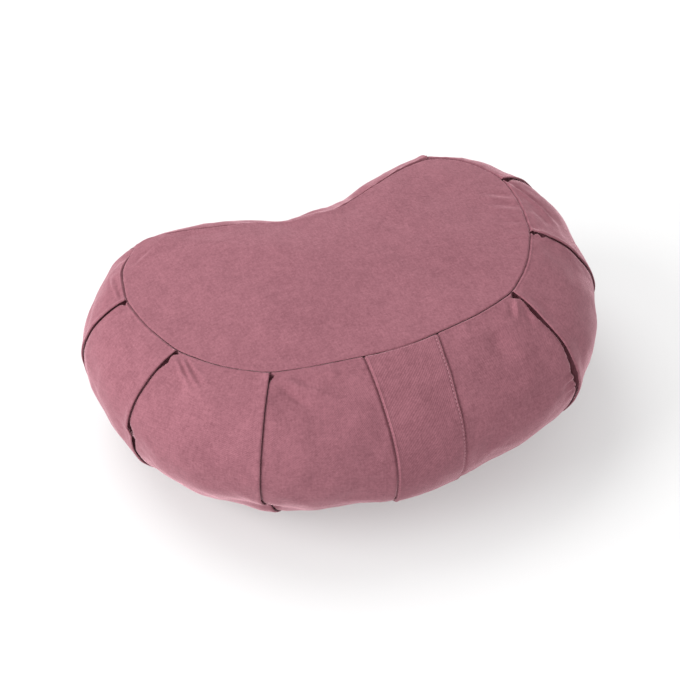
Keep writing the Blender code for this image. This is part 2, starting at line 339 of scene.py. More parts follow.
def seam_rise(place):
    """The top seam's height as the pattern has it."""
    x, _, _, out_y = seam_at(place)
    tip = x / TABLE_X.max()
    rise = BACK_RISE * np.maximum(0.0, out_y) ** 3
    return TOP_SEAM_HEIGHT - TIP_DROP * tip ** 2 + TIP_SWAY * tip + rise


def top_seam_height(place):
    """The top seam's height with the left tip's fall."""
    x, y, _, _ = seam_at(place)
    return seam_rise(place) - facet_drop(x + CENTRE_X, y + CENTRE_Y)


def soft_lumps(points, seed, sizes, waves=14):
    """A smooth, uneven field over space, about -1 to 1, with lumps of the given sizes."""
    chance = np.random.default_rng(seed)
    total = np.zeros(points.shape[:-1])
    for _ in range(waves):
        way = chance.normal(size=3)
        way /= np.linalg.norm(way)
        size = chance.uniform(*sizes)
        total += np.sin(points @ way * (2.0 * math.pi / size) + chance.uniform(0.0, 6.28))
    return total / math.sqrt(waves / 2.0) / 1.6


# The side wall and its filling: one long strip of the twill, folded into eight pleats and sewn
# into both seams, stuffed tight with husk so that it bellies out all round. The pleats' edges
# face the front, so that cloth from the back always laps over cloth from the front.
BOTTOM_SEAM_HEIGHT = 0.0060
BELLY_HEIGHT = 0.0847
WALL_CLEARANCE = 0.0022
BOTTOM_GROOVE = 0.0120
BELLY_FRONT = 0.0785
BELLY_TIPS = 0.0480
BELLY_BACK = 0.0385
BELLY_SWAY = 0.0028
BELLY_FULLNESS = 1.41
PLEATS = (
    {"place": 0.1222, "faces": -1, "lean": -0.10, "hook": 0.004, "gape": 0.0004, "full": 1.0,
     "crumple_at": 0.595, "crumple": 0.0022},
    {"place": 0.2083, "faces": -1, "lean": -0.13, "hook": 0.002, "gape": 0.0003, "full": 1.0,
     "crumple_at": 0.30, "crumple": 0.0},
    {"place": 0.2861, "faces": -1, "lean": -0.02, "hook": 0.000, "gape": 0.0004, "full": 1.0,
     "crumple_at": 0.50, "crumple": 0.0},
    {"place": 0.3611, "faces": -1, "lean": 0.00, "hook": 0.000, "gape": 0.0005, "full": 1.0,
     "crumple_at": 0.50, "crumple": 0.0},
    {"place": 0.6500, "faces": 1, "lean": 0.00, "hook": 0.000, "gape": 0.0000, "full": 0.2,
     "crumple_at": 0.50, "crumple": 0.0},
    {"place": 0.7222, "faces": 1, "lean": 0.00, "hook": 0.000, "gape": 0.0002, "full": 1.0,
     "crumple_at": 0.60, "crumple": 0.0},
    {"place": 0.8028, "faces": 1, "lean": -0.16, "hook": 0.000, "gape": 0.0002, "full": 1.0,
     "crumple_at": 0.500, "crumple": 0.0046},
    {"place": 0.8889, "faces": 1, "lean": -0.08, "hook": 0.016, "gape": 0.0001, "full": 1.0,
     "crumple_at": 0.60, "crumple": 0.0},
)
BAND_EDGES = (
    {"place": 0.9694, "lean": 0.12, "hook": 0.004, "beside": -1, "dip_top": 0.0016,
     "dip_low": 0.0022},
    {"place": 1.0361, "lean": -0.27, "hook": 0.000, "beside": 1, "dip_top": 0.0016,
     "dip_low": 0.0012},
)
BESIDE_BAND = (-0.0070, -0.0045, -0.0032, -0.0024, -0.0018, -0.0013, -0.0009, -0.0005, 0.0,
               0.0005, 0.0009, 0.0013, 0.0018, 0.0024, 0.0032, 0.0045, 0.0070)
HOOK_FROM = 0.55
PLEAT_SECTION = (
    {"seam": -0.0280, "along": -0.0280, "proud": 0.0000, "over": 0.3},
    {"seam": -0.0130, "along": -0.0130, "proud": 0.0001, "over": 0.8},
    {"seam": -0.0050, "along": -0.0050, "proud": 0.0004, "over": 1.0},
    {"seam": -0.0018, "along": -0.0018, "proud": 0.0013, "over": 1.0},
    {"seam": -0.0012, "along": -0.0006, "proud": 0.0014, "over": 1.0},
    {"seam": -0.0008, "along": 0.0000, "proud": 0.0007, "over": 1.0},
    {"seam": -0.0004, "along": -0.0008, "proud": -0.0001, "over": 1.0},
    {"seam": 0.0000, "along": -0.0034, "proud": -0.0010, "over": 0.8},
    {"seam": 0.0003, "along": -0.0042, "proud": -0.0018, "over": 0.3},
    {"seam": 0.0006, "along": -0.0033, "proud": -0.0027, "over": 0.0},
    {"seam": 0.0010, "along": -0.0011, "proud": -0.0028, "over": 0.0},
    {"seam": 0.0015, "along": 0.0001, "proud": -0.0019, "over": 0.0},
    {"seam": 0.0022, "along": 0.0008, "proud": -0.0007, "over": 0.0},
    {"seam": 0.0034, "along": 0.0026, "proud": -0.0004, "over": 0.0},
    {"seam": 0.0060, "along": 0.0060, "proud": -0.0003, "over": 0.0},
    {"seam": 0.0110, "along": 0.0110, "proud": -0.0002, "over": 0.0},
    {"seam": 0.0150, "along": 0.0150, "proud": -0.0001, "over": 0.0},
    {"seam": 0.0195, "along": 0.0195, "proud": 0.0000, "over": 0.0},
    {"seam": 0.0240, "along": 0.0240, "proud": 0.0000, "over": 0.0},
)
SECTION_STEPS = 3
COLUMN_SPACING = 0.0020
ROW_SPACING = 0.0026
SEAM_ROW_SPACING = 0.0005
ROW_GROWTH = 0.045
PLEAT_BEHIND = 0.028
PLEAT_AHEAD = 0.024
PLEAT_STARTS = 0.032
STEP_ALONG = 0.004
STEP_DOWN = 0.016
SMOOTH_ENDS = 0.03


def between_marks(place, key):
    """A fold line's own value at its mark, blended evenly from one mark to the next."""
    marks = sorted((row["place"], row[key]) for row in PLEATS + BAND_EDGES)
    places = np.array([mark[0] for mark in marks])
    values = np.array([mark[1] for mark in marks])
    places = np.concatenate([places - 1.0, places, places + 1.0])
    return np.interp(place, places, np.tile(values, 3))


def smooth_step(value):
    """0 up to nothing and 1 from one on, with a soft rise between."""
    part = np.clip(value, 0.0, 1.0)
    return part * part * (3.0 - 2.0 * part)


def bare_wall(place, down):
    """Points of the wall before pleating; down runs from 0 at the top seam to 1 at the bottom."""
    hooked = smooth_step((down - HOOK_FROM) / (1.0 - HOOK_FROM))
    lean = np.tan(between_marks(place, "lean"))
    place = place + between_marks(place, "hook") * hooked / SEAM_LENGTH
    x, y, out_x, out_y = seam_at(place)
    ends = (BELLY_FRONT + BELLY_BACK) / 2.0
    swing = (BELLY_FRONT - BELLY_BACK) / 2.0
    belly = ends - swing * out_y - (ends - BELLY_TIPS) * out_x ** 2 + BELLY_SWAY * out_x
    belly = belly - np.interp(np.mod(place, 1.0), TABLE_AT, TABLE_NUDGE)
    turn = math.pi * (0.5 - down)
    reach = belly * np.maximum(0.0, np.cos(turn)) ** BELLY_FULLNESS
    flat_x = x + (out_x - out_y * lean) * reach + CENTRE_X
    flat_y = y + (out_y + out_x * lean) * reach + CENTRE_Y
    upper = BELLY_HEIGHT + (top_seam_height(place) - BELLY_HEIGHT) * np.sin(turn)
    lower = BELLY_HEIGHT + (BELLY_HEIGHT - WALL_CLEARANCE) * np.sin(turn)
    groove = np.maximum(0.0, 1.0 - reach / BOTTOM_GROOVE)
    lower = lower + (BOTTOM_SEAM_HEIGHT - WALL_CLEARANCE) * groove ** 2
    return np.stack([flat_x, flat_y, np.where(turn > 0.0, upper, lower)], axis=-1)


def wall_out(place, down):
    """The way straight out of the bare wall."""
    middle = np.clip(down, SMOOTH_ENDS, 1.0 - SMOOTH_ENDS)
    along = bare_wall(place + STEP_ALONG, middle) - bare_wall(place - STEP_ALONG, middle)
    across = bare_wall(place, middle + STEP_DOWN) - bare_wall(place, middle - STEP_DOWN)
    out = np.cross(across, along)
    return out / np.linalg.norm(out, axis=-1, keepdims=True)


def wall_rows():
    """Steps down the wall, close together at both seams and even between them."""
    fine = np.linspace(0.0, 1.0, 2001)
    line = bare_wall(np.zeros_like(fine), fine)
    length = np.concatenate([[0.0], np.cumsum(np.linalg.norm(np.diff(line, axis=0), axis=-1))])
    at = [0.0]
    while at[-1] < length[-1]:
        edge = min(at[-1], length[-1] - at[-1])
        at.append(at[-1] + min(ROW_SPACING, SEAM_ROW_SPACING + ROW_GROWTH * edge))
    at = np.array(at) * length[-1] / at[-1]
    return np.interp(at, length, fine)


def smooth_through(values, steps):
    """A smooth line through values, with steps points from each one to the next."""
    before = np.concatenate([values[:1], values[:-1]])
    after = np.concatenate([values[2:], values[-1:]])
    line = []
    for index in range(len(values) - 1):
        start, end = values[index], values[index + 1]
        rise_in = (end - before[index]) / 2.0
        rise_out = (after[index] - start) / 2.0
        for step in range(steps):
            t = step / steps
            line.append(start * (1 + 2 * t) * (1 - t) ** 2 + rise_in * t * (1 - t) ** 2
                        + end * t * t * (3 - 2 * t) - rise_out * t * t * (1 - t))
    return np.array(line + [values[-1]])


def wall_columns():
    """Every line of points down the wall, as place, seam, along, proud, over, gape, crumples."""
    section = {key: smooth_through(np.array([row[key] for row in PLEAT_SECTION]), SECTION_STEPS)
               for key in ("seam", "along", "proud", "over")}
    blocks = []
    for pleat in PLEATS:
        order = slice(None) if pleat["faces"] > 0 else slice(None, None, -1)
        before, after = (PLEAT_BEHIND, PLEAT_AHEAD)[order]
        reach = pleat["faces"] / SEAM_LENGTH
        lines = zip(*(section[key][order] for key in section))
        blocks.append({
            "start": pleat["place"] - before / SEAM_LENGTH,
            "end": pleat["place"] + after / SEAM_LENGTH,
            "rows": [(pleat["place"], seam * reach, along * reach, proud * pleat["full"], over,
                      pleat["gape"], pleat["crumple_at"], pleat["crumple"] * reach)
                     for seam, along, proud, over in lines],
        })
    for edge in BAND_EDGES:
        beside = [edge["place"] + step / SEAM_LENGTH for step in BESIDE_BAND]
        blocks.append({"start": beside[0], "end": beside[-1],
                       "rows": [(place, *[0.0] * 7) for place in beside]})
    blocks.sort(key=lambda block: block["start"])
    columns = []
    for index, block in enumerate(blocks):
        columns += block["rows"]
        following = blocks[(index + 1) % len(blocks)]["start"]
        following += 1.0 if following < block["end"] else 0.0
        count = max(1, round((following - block["end"]) * SEAM_LENGTH / COLUMN_SPACING))
        for step in range(1, count):
            place = block["end"] + (following - block["end"]) * step / count
            columns.append((place, *[0.0] * 7))
    return np.array(columns).T


def around(place, middle):
    """Distance along the seam from a place to a middle, in metres, the short way round."""
    return (np.mod(place - middle + 0.5, 1.0) - 0.5) * SEAM_LENGTH


WALL_LENGTH = 0.215
CREASES = (
    {"from": (0.8108, 0.0092), "to": (0.8385, 0.0300), "width": 0.0016, "depth": 0.0017, "start": 0.20},
    {"from": (0.8125, 0.0070), "to": (0.8425, 0.0305), "width": 0.0015, "depth": -0.0010, "start": 0.20},
    {"from": (0.8152, 0.0065), "to": (0.8445, 0.0275), "width": 0.0016, "depth": 0.0018, "start": 0.20},
    {"from": (0.8180, 0.0055), "to": (0.8475, 0.0262), "width": 0.0016, "depth": -0.0010, "start": 0.20},
    {"from": (0.8215, 0.0050), "to": (0.8515, 0.0225), "width": 0.0020, "depth": 0.0010, "start": 0.20},
    {"from": (0.8250, 0.0260), "to": (0.8350, 0.0680), "width": 0.0050, "depth": -0.0016},
    {"from": (0.8990, 0.0090), "to": (0.9360, 0.0330), "width": 0.0030, "depth": 0.0017},
    {"from": (0.8975, 0.0130), "to": (0.9180, 0.0380), "width": 0.0028, "depth": -0.0018},
    {"from": (0.9107, 0.0420), "to": (0.9107, 0.0900), "width": 0.0050, "depth": 0.0009},
    {"from": (0.1172, 0.0080), "to": (0.1070, 0.0230), "width": 0.0014, "depth": 0.0022},
    {"from": (0.1185, 0.0170), "to": (0.1115, 0.0380), "width": 0.0020, "depth": -0.0018},
    {"from": (0.1120, 0.0060), "to": (0.1040, 0.0200), "width": 0.0022, "depth": -0.0013},
    {"from": (0.0860, 0.0080), "to": (0.0790, 0.0560), "width": 0.0060, "depth": -0.0014},
    {"from": (0.0960, 0.0300), "to": (0.0930, 0.0900), "width": 0.0060, "depth": 0.0010},
    {"from": (0.2760, 0.0020), "to": (0.2290, 0.0340), "width": 0.0026, "depth": 0.0018},
    {"from": (0.2790, 0.0060), "to": (0.2400, 0.0330), "width": 0.0026, "depth": -0.0020},
    {"from": (0.2400, 0.0120), "to": (0.2210, 0.0370), "width": 0.0022, "depth": -0.0016},
    {"from": (0.6880, 0.0160), "to": (0.7120, 0.0100), "width": 0.0015, "depth": -0.0013},
    {"from": (0.6900, 0.0115), "to": (0.7160, 0.0065), "width": 0.0014, "depth": 0.0013},
    {"from": (0.6920, 0.0075), "to": (0.7180, 0.0040), "width": 0.0014, "depth": -0.0012},
    {"from": (0.6400, 0.0110), "to": (0.6700, 0.0100), "width": 0.0110, "depth": -0.0075},
    {"from": (0.6650, 0.0400), "to": (0.7050, 0.0400), "width": 0.0240, "depth": -0.0030},
    {"from": (0.1212, 0.0890), "to": (0.1140, 0.0860), "width": 0.0015, "depth": -0.0020},
    {"from": (0.1212, 0.0930), "to": (0.1130, 0.0910), "width": 0.0014, "depth": 0.0018},
    {"from": (0.1212, 0.0975), "to": (0.1130, 0.0965), "width": 0.0015, "depth": -0.0022},
    {"from": (0.1212, 0.1020), "to": (0.1140, 0.1015), "width": 0.0014, "depth": 0.0018},
    {"from": (0.1212, 0.1065), "to": (0.1150, 0.1070), "width": 0.0015, "depth": -0.0018},
    {"from": (0.3800, 0.0130), "to": (0.6150, 0.0130), "width": 0.0110, "depth": -0.0052},
    {"from": (0.5900, 0.0130), "to": (0.6500, 0.0130), "width": 0.0100, "depth": -0.0020},
    {"from": (0.4180, 0.0200), "to": (0.4440, 0.0200), "width": 0.0120, "depth": -0.0040},
    {"from": (0.4560, 0.0160), "to": (0.5350, 0.0160), "width": 0.0110, "depth": 0.0030, "start": 0.20},
    {"from": (0.9400, 0.1400), "to": (0.9980, 0.1400), "width": 0.0240, "depth": 0.0050},
    {"from": (0.8650, 0.1450), "to": (0.9100, 0.1450), "width": 0.0160, "depth": -0.0046},
    {"from": (0.8840, 0.1500), "to": (0.8960, 0.1500), "width": 0.0100, "depth": -0.0032},
)
POCKETS = (
    {"place": 0.8889, "top": 0.0006, "long": 0.0105, "peak": 0.25, "wide": 0.0042, "depth": 0.0050},
    {"place": 0.8028, "top": 0.0004, "long": 0.0060, "peak": 0.35, "wide": 0.0038, "depth": 0.0044},
    {"place": 0.8028, "top": 0.0078, "long": 0.0180, "peak": 0.35, "wide": 0.0030, "depth": 0.0040},
    {"place": 0.8028, "top": 0.0790, "long": 0.0120, "peak": 0.70, "wide": 0.0060, "depth": 0.0052},
    {"place": 0.8028, "top": 0.0900, "long": 0.0300, "peak": 0.10, "wide": 0.0062, "depth": 0.0042},
    {"place": 0.7222, "top": 0.0006, "long": 0.0075, "peak": 0.35, "wide": 0.0038, "depth": 0.0042},
    {"place": 0.7222, "top": 0.0300, "long": 0.0700, "peak": 0.50, "wide": 0.0014, "depth": 0.0014},
    {"place": 0.1222, "top": 0.0006, "long": 0.0110, "peak": 0.30, "wide": 0.0050, "depth": 0.0050},
    {"place": 0.1222, "top": 0.0120, "long": 0.0400, "peak": 0.35, "wide": 0.0026, "depth": 0.0046},
    {"place": 0.1222, "top": 0.0560, "long": 0.0580, "peak": 0.60, "wide": 0.0034, "depth": 0.0052},
    {"place": 0.2083, "top": 0.0004, "long": 0.0060, "peak": 0.40, "wide": 0.0036, "depth": 0.0044},
    {"place": 0.2083, "top": 0.0080, "long": 0.0080, "peak": 0.40, "wide": 0.0034, "depth": 0.0042},
    {"place": 0.2861, "top": 0.0006, "long": 0.0140, "peak": 0.30, "wide": 0.0040, "depth": 0.0042},
    {"place": 0.3611, "top": 0.0006, "long": 0.0120, "peak": 0.30, "wide": 0.0040, "depth": 0.0040},
)


POCKET_FULL = 0.55
POCKET_SOFT = 0.0003
POCKET_REACH = 0.010


def pocket_field(place, from_top):
    """How far the lower cloth sinks away under the folded edges, in short wedges."""
    total = np.zeros_like(from_top)
    faces = {pleat["place"]: pleat["faces"] for pleat in PLEATS}
    for row in POCKETS:
        ahead = around(place, row["place"]) * faces[row["place"]]
        part = (from_top - row["top"]) / row["long"]
        wedge = np.clip(np.minimum(part / row["peak"], (1.0 - part) / (1.0 - row["peak"])), 0.0, 1.0)
        wide = row["wide"] * wedge
        past = ahead - POCKET_FULL * wide
        across = 1.0 - smooth_step(past / ((1.0 - POCKET_FULL) * wide + POCKET_SOFT))
        inside = (np.abs(ahead) < POCKET_REACH) * np.sqrt(wedge)
        total = np.maximum(total, row["depth"] * across * inside)
    return total


CREASE_START = 0.12
CREASE_SPAN = 0.80


def round_the_seam(place, across):
    """Points on a ring as long as the seam, for patterns that have to meet at its start."""
    turn = 2.0 * math.pi * place
    radius = SEAM_LENGTH / (2.0 * math.pi)
    ring = (radius * np.cos(turn), radius * np.sin(turn), across)
    return np.stack(np.broadcast_arrays(*ring), axis=-1)


def crease_field(place, from_top, rows):
    """Soft troughs and ridges along the listed lines on the wall."""
    total = np.zeros_like(place)
    for row in rows:
        start = np.array([0.0, row["from"][1]])
        end = np.array([around(row["to"][0], row["from"][0]), row["to"][1]])
        here = np.stack([around(place, row["from"][0]), from_top], axis=-1)
        run = end - start
        part = np.clip(((here - start) @ run) / (run @ run), 0.0, 1.0)
        near = np.linalg.norm(here - start - part[..., None] * run, axis=-1)
        fade = np.sin(math.pi * (row.get("start", CREASE_START) + CREASE_SPAN * part))
        total += row["depth"] * bell(near, row["width"]) * fade
    return total


SEAM_DIP = 0.0010
SEAM_DIP_WIDTH = 0.0009
SEAM_RIDGE = 0.0005
SEAM_RIDGE_BELOW = 0.0019
SEAM_RIDGE_WIDTH = 0.0009
BAND_DIP_BESIDE = 0.0007
BAND_DIP_WIDTH = 0.0011
LUMPS_FREE_FROM = 0.030
WIDE_LUMPS, WIDE_LUMP_RISE = (0.035, 0.090), 0.0010
FINE_LUMPS, FINE_LUMP_RISE = (0.014, 0.030), 0.00022
GATHERS, GATHER_RISE = (0.007, 0.016), 0.00040
GATHER_LENGTH = 0.014
GATHER_START = 0.003
GATHER_STRETCH = 0.12


def drawn_width(drawn):
    """How much wider a seam's dip grows where it is drawn in deeper."""
    return 0.75 + 0.25 * drawn


def wall_relief(place, points, from_top, from_bottom):
    """How far the cloth stands out of the bare wall, apart from the pleats."""
    edge = np.minimum(from_top, from_bottom)
    free = np.clip(edge / LUMPS_FREE_FROM, 0.0, 1.0)
    relief = soft_lumps(points, 11, WIDE_LUMPS) * WIDE_LUMP_RISE * free
    relief += soft_lumps(points, 12, FINE_LUMPS) * FINE_LUMP_RISE * free
    gathers = soft_lumps(round_the_seam(place, from_top * GATHER_STRETCH), 13, GATHERS, 18)
    sewn = np.exp(-edge / GATHER_LENGTH) * np.clip(edge / GATHER_START, 0.0, 1.0)
    relief += gathers * GATHER_RISE * sewn
    drawn = seam_drawn(place)
    relief -= SEAM_DIP * drawn * bell(from_top, SEAM_DIP_WIDTH * drawn_width(drawn))
    relief += SEAM_RIDGE * drawn * bell(from_top - SEAM_RIDGE_BELOW, SEAM_RIDGE_WIDTH)
    for edge in BAND_EDGES:
        beside = around(place, edge["place"]) * edge["beside"]
        low = np.clip(from_top / WALL_LENGTH, 0.0, 1.0)
        depth = edge["dip_top"] + (edge["dip_low"] - edge["dip_top"]) * low
        relief -= depth * bell(beside - BAND_DIP_BESIDE, BAND_DIP_WIDTH)
    return relief + crease_field(place, from_top, CREASES)


CRUMPLE_ONSET = 0.010
CRUMPLE_LENGTH = 0.080
LIP_SWAY = 0.00035


def rise_from_seam(down):
    """0 at both seams, where a pleat is sewn flat, and 1 where it is free."""
    return smooth_step(np.minimum(down, 1.0 - down) / PLEAT_STARTS)


def down_lengths(points):
    """How far each point lies from the first row, measured down its column."""
    steps = np.linalg.norm(np.diff(points, axis=0), axis=-1)
    return np.concatenate([np.zeros_like(steps[:1]), np.cumsum(steps, axis=0)])


def pleated_wall(columns, down):
    """Points of the finished wall, a row for each step down and a column for each line."""
    place, seam, along, proud, over, gape, crumple_at, crumple = (
        line[None, :] for line in columns)
    down = down[:, None]
    free = rise_from_seam(down)
    here = place + seam + (along - seam) * free
    past = down - crumple_at
    pushed = smooth_step(past / CRUMPLE_ONSET) * np.exp(-np.maximum(past, 0.0) / CRUMPLE_LENGTH)
    line = np.stack(np.broadcast_arrays(place * 7.0, down * 0.22, 0.0), axis=-1)
    sway = soft_lumps(line, 14, (0.014, 0.040)) * np.sin(math.pi * down)
    here = here + crumple * over * pushed + sway * over * (along < 0.0) * LIP_SWAY / SEAM_LENGTH
    rise = proud * free + over * gape * (1.0 + 0.7 * sway) * np.sin(math.pi * down)
    down = np.broadcast_to(down, here.shape)
    base = bare_wall(here, down)
    from_top = down_lengths(base)
    relief = wall_relief(here, base, from_top, from_top[-1:] - from_top)
    relief = relief - pocket_field(here, from_top) * (1.0 - over) + settled_relief(here, down)
    return base + wall_out(here, down) * (rise + relief)[..., None], from_top


def grid_mesh(name, points, cloth_uv):
    """A mesh of a grid of points: rows, columns, xyz. The grid comes from the grid operator."""
    rows, columns = points.shape[:2]
    grid = bmesh.new()
    bmesh.ops.create_grid(grid, x_segments=columns - 1, y_segments=rows - 1, size=1.0)
    mesh = bpy.data.meshes.new(name)
    grid.to_mesh(mesh)
    grid.free()
    flat = np.empty(len(mesh.vertices) * 3)
    mesh.vertices.foreach_get("co", flat)
    flat = flat.reshape(-1, 3)
    column = np.rint((flat[:, 0] + 1.0) / 2.0 * (columns - 1)).astype(int)
    row = np.rint((flat[:, 1] + 1.0) / 2.0 * (rows - 1)).astype(int)
    mesh.vertices.foreach_set("co", points[row, column].ravel())
    layer = mesh.uv_layers.new(name="UVMap")
    corners = np.empty(len(mesh.loops), dtype=np.int32)
    mesh.loops.foreach_get("vertex_index", corners)
    layer.uv.foreach_set("vector", cloth_uv[row[corners], column[corners]].ravel())
    return mesh


WELD_DISTANCE = 0.00002


def sewn_up(mesh, close_ends=False):
    """Merges the points that meet, turns the faces outwards and shades them smooth."""
    work = bmesh.new()
    work.from_mesh(mesh)
    bmesh.ops.remove_doubles(work, verts=work.verts, dist=WELD_DISTANCE)
    if close_ends:
        ends = [edge for edge in work.edges if edge.is_boundary]
        bmesh.ops.holes_fill(work, edges=ends, sides=0)
    bmesh.ops.recalc_face_normals(work, faces=work.faces)
    work.to_mesh(mesh)
    work.free()
    mesh.shade_smooth()
    return mesh


SETTLE_COLUMNS = 240
SETTLE_ROWS = 44
SETTLE_FRAMES = 20
SETTLE_PRESSURE = 4.0
SETTLE_SPARE = -0.012
SETTLE_CAP = 0.0010
SETTLE_SHARE = 0.5
SETTLE_SMOOTHING = 10
SETTLE_HELD = 0.0026
SETTLE_QUALITY = 6
SETTLE_MASS = 0.2
SETTLE_BENDING = 0.3


def settled_strip():
    """Lets the sewn strip of cloth settle over its filling, and gives how far each part moved."""
    places = np.linspace(0.0, 1.0, SETTLE_COLUMNS)
    downs = np.interp(np.linspace(0.0, 1.0, SETTLE_ROWS), np.linspace(0.0, 1.0, len(down)), down)
    place, step = np.meshgrid(places, downs)
    start = bare_wall(place, step)
    strip = linked("settling_strip", grid_mesh("settling_strip", start, start[..., :2]))
    held = np.minimum.reduce([np.abs(around(place, mark)) for mark in
                              (0.0, *PLEAT_PLACES, *(edge["place"] for edge in BAND_EDGES))])
    sewn = (held < SETTLE_HELD) | (step <= downs[0]) | (step >= downs[-1])
    group = strip.vertex_groups.new(name="sewn")
    group.add(np.flatnonzero(sewn.ravel()).tolist(), 1.0, "REPLACE")
    cloth = strip.modifiers.new("settling", "CLOTH")
    cloth.settings.vertex_group_mass = "sewn"
    cloth.settings.quality = SETTLE_QUALITY
    cloth.settings.mass = SETTLE_MASS
    cloth.settings.bending_stiffness = SETTLE_BENDING
    cloth.settings.shrink_min = SETTLE_SPARE
    cloth.settings.use_pressure = True
    cloth.settings.uniform_pressure_force = SETTLE_PRESSURE
    cloth.settings.effector_weights.gravity = 0.0
    cloth.point_cache.frame_end = SETTLE_FRAMES
    for frame_number in range(1, SETTLE_FRAMES + 1):
        scene.frame_set(frame_number)
    moved = strip.evaluated_get(bpy.context.evaluated_depsgraph_get()).data
    flat = np.empty(len(moved.vertices) * 3)
    moved.vertices.foreach_get("co", flat)
    scene.frame_set(1)
    bpy.data.objects.remove(strip)
    shift = (flat.reshape(start.shape) - start) * wall_out(place, step)
    return places, downs, shift.sum(axis=-1)


def wrinkles(shift):
    """What is left of a field once its broad swelling is taken off."""
    broad = shift.copy()
    for _ in range(SETTLE_SMOOTHING):
        beside = np.concatenate([broad[:, -2:-1], broad, broad[:, 1:2]], axis=1)
        padded = np.pad(beside, ((1, 1), (0, 0)), mode="edge")
        broad = (padded[1:-1, 1:-1] * 2.0 + padded[:-2, 1:-1] + padded[2:, 1:-1]
                 + padded[1:-1, :-2] + padded[1:-1, 2:]) / 6.0
    return np.clip(shift - broad, -SETTLE_CAP, SETTLE_CAP)


def settled_relief(place, step):
    """How far the settled cloth stands out at points of the wall."""
    rows = [np.interp(step[:, 0], settle_downs, settle_field[:, index])
            for index in range(len(settle_places))]
    by_row = np.array(rows).T
    return np.array([np.interp(np.mod(here, 1.0), settle_places, line)
                     for here, line in zip(place, by_row)])


down = wall_rows()
settle_places, settle_downs, settle_field = settled_strip()
settle_field = wrinkles(settle_field) * SETTLE_SHARE
columns = wall_columns()
first_again = columns[:, :1].copy()
first_again[0] += 1.0
columns = np.concatenate([columns, first_again], axis=1)
wall_points, wall_down = pleated_wall(columns, down)

BED_DEPTH = 0.0034
BED_RISE = 0.0050
UNDERSIDE_RISE = -0.0020
BED_SCALES = (0.0, 0.35, 0.70, 0.92, 0.985)


def drawn_in(row, scales, drop, rise):
    """Rings from a seam in towards the middle: the body's faces that the panels cover."""
    rings = []
    level = row[:, 2].mean()
    for scale in scales:
        ring = row.copy()
        ring[:, 0] = (row[:, 0] - CENTRE_X) * scale + CENTRE_X
        ring[:, 1] = (row[:, 1] - CENTRE_Y) * scale + CENTRE_Y
        ring[:, 2] = level + (row[:, 2] - level) * scale + drop + rise * (1.0 - scale ** 3)
        rings.append(ring)
    return np.array(rings)


bed = drawn_in(wall_points[0], BED_SCALES, -BED_DEPTH, BED_RISE)
underside = drawn_in(wall_points[-1], BED_SCALES[::-1], BED_DEPTH, UNDERSIDE_RISE)
body_points = np.concatenate([bed, wall_points, underside])
body_down = np.concatenate([wall_down[:1].repeat(len(bed), 0), wall_down,
                            wall_down[-1:].repeat(len(underside), 0)])
body_uv = np.stack(np.broadcast_arrays((columns[0] + columns[2])[None, :] * SEAM_LENGTH,
                                       body_down), axis=-1)
wall = linked("cushion_wall", sewn_up(grid_mesh("cushion_wall", body_points, body_uv)))
wall.data.materials.append(rose_twill)
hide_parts("cushion_body")
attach(wall, "root")


# The top panel: one crescent of the twill, drawn tight over the filling into a low crown. Its edge
# is turned down and sewn to the wall, so that it rolls over into the seam all round.
CROWN = 0.0080
CROWN_SHAPE = 2.4
ROLLED_RIM = 0.0008
RIM_SHAPE = 9.0
RIM_DIP = 0.0009
RIM_DIP_WIDTH = 0.0008
PANEL_CREASES = (
    {"from": (0.1735, 0.0562), "to": (0.1500, 0.0660), "width": 0.0032, "depth": -0.0008},
    {"from": (0.1740, 0.0500), "to": (0.1510, 0.0590), "width": 0.0027, "depth": 0.0006},
    {"from": (0.1745, 0.0405), "to": (0.1480, 0.0510), "width": 0.0034, "depth": -0.0009},
    {"from": (0.1725, 0.0335), "to": (0.1500, 0.0420), "width": 0.0027, "depth": 0.0005},
    {"from": (0.1690, 0.0180), "to": (0.1510, 0.0250), "width": 0.0022, "depth": -0.0005},
    {"from": (0.1640, 0.0070), "to": (0.1480, 0.0130), "width": 0.0022, "depth": -0.0005},
    {"from": (0.1590, -0.0040), "to": (0.1440, 0.0020), "width": 0.0022, "depth": -0.0004},
    {"from": (-0.1640, 0.1085), "to": (-0.1440, 0.1170), "width": 0.0020, "depth": -0.0008},
    {"from": (-0.1670, 0.1010), "to": (-0.1480, 0.1120), "width": 0.0018, "depth": 0.0006},
)
PANEL_CLOTH = 0.0012
PANEL_COLUMNS = 560
PANEL_STEPS = 80
PANEL_EDGE = 0.9984
EDGE_CROWDING = 1.9
PANEL_FREE_FROM = 0.020
PANEL_WIDE_LUMPS, PANEL_WIDE_RISE = (0.060, 0.140), 0.0008
PANEL_FINE_LUMPS, PANEL_FINE_RISE = (0.018, 0.040), 0.00018
PUCKERS, PUCKER_RISE = (0.005, 0.012), 0.00018
PUCKER_LENGTH = 0.008
PUCKER_STRETCH = 0.2

panel_places = np.linspace(0.0, 1.0, PANEL_COLUMNS + 1)
panel_x, panel_y = seam_at(panel_places)[:2]


def panel_scales():
    """Steps from the middle of the panel to its edge, closer together near the edge."""
    even = np.linspace(0.0, 1.0, PANEL_STEPS)
    return PANEL_EDGE * (1.0 - (1.0 - even) ** EDGE_CROWDING)


def panel_folds(x, y):
    """Soft troughs and ridges along the listed lines on the panel."""
    total = np.zeros_like(x)
    for row in PANEL_CREASES:
        start, end = np.array(row["from"]), np.array(row["to"])
        here = np.stack([x, y], axis=-1) - start
        run = end - start
        part = np.clip((here @ run) / (run @ run), 0.0, 1.0)
        near = np.linalg.norm(here - part[..., None] * run, axis=-1)
        total += row["depth"] * bell(near, row["width"]) * np.sin(math.pi * (0.15 + 0.75 * part))
    return total


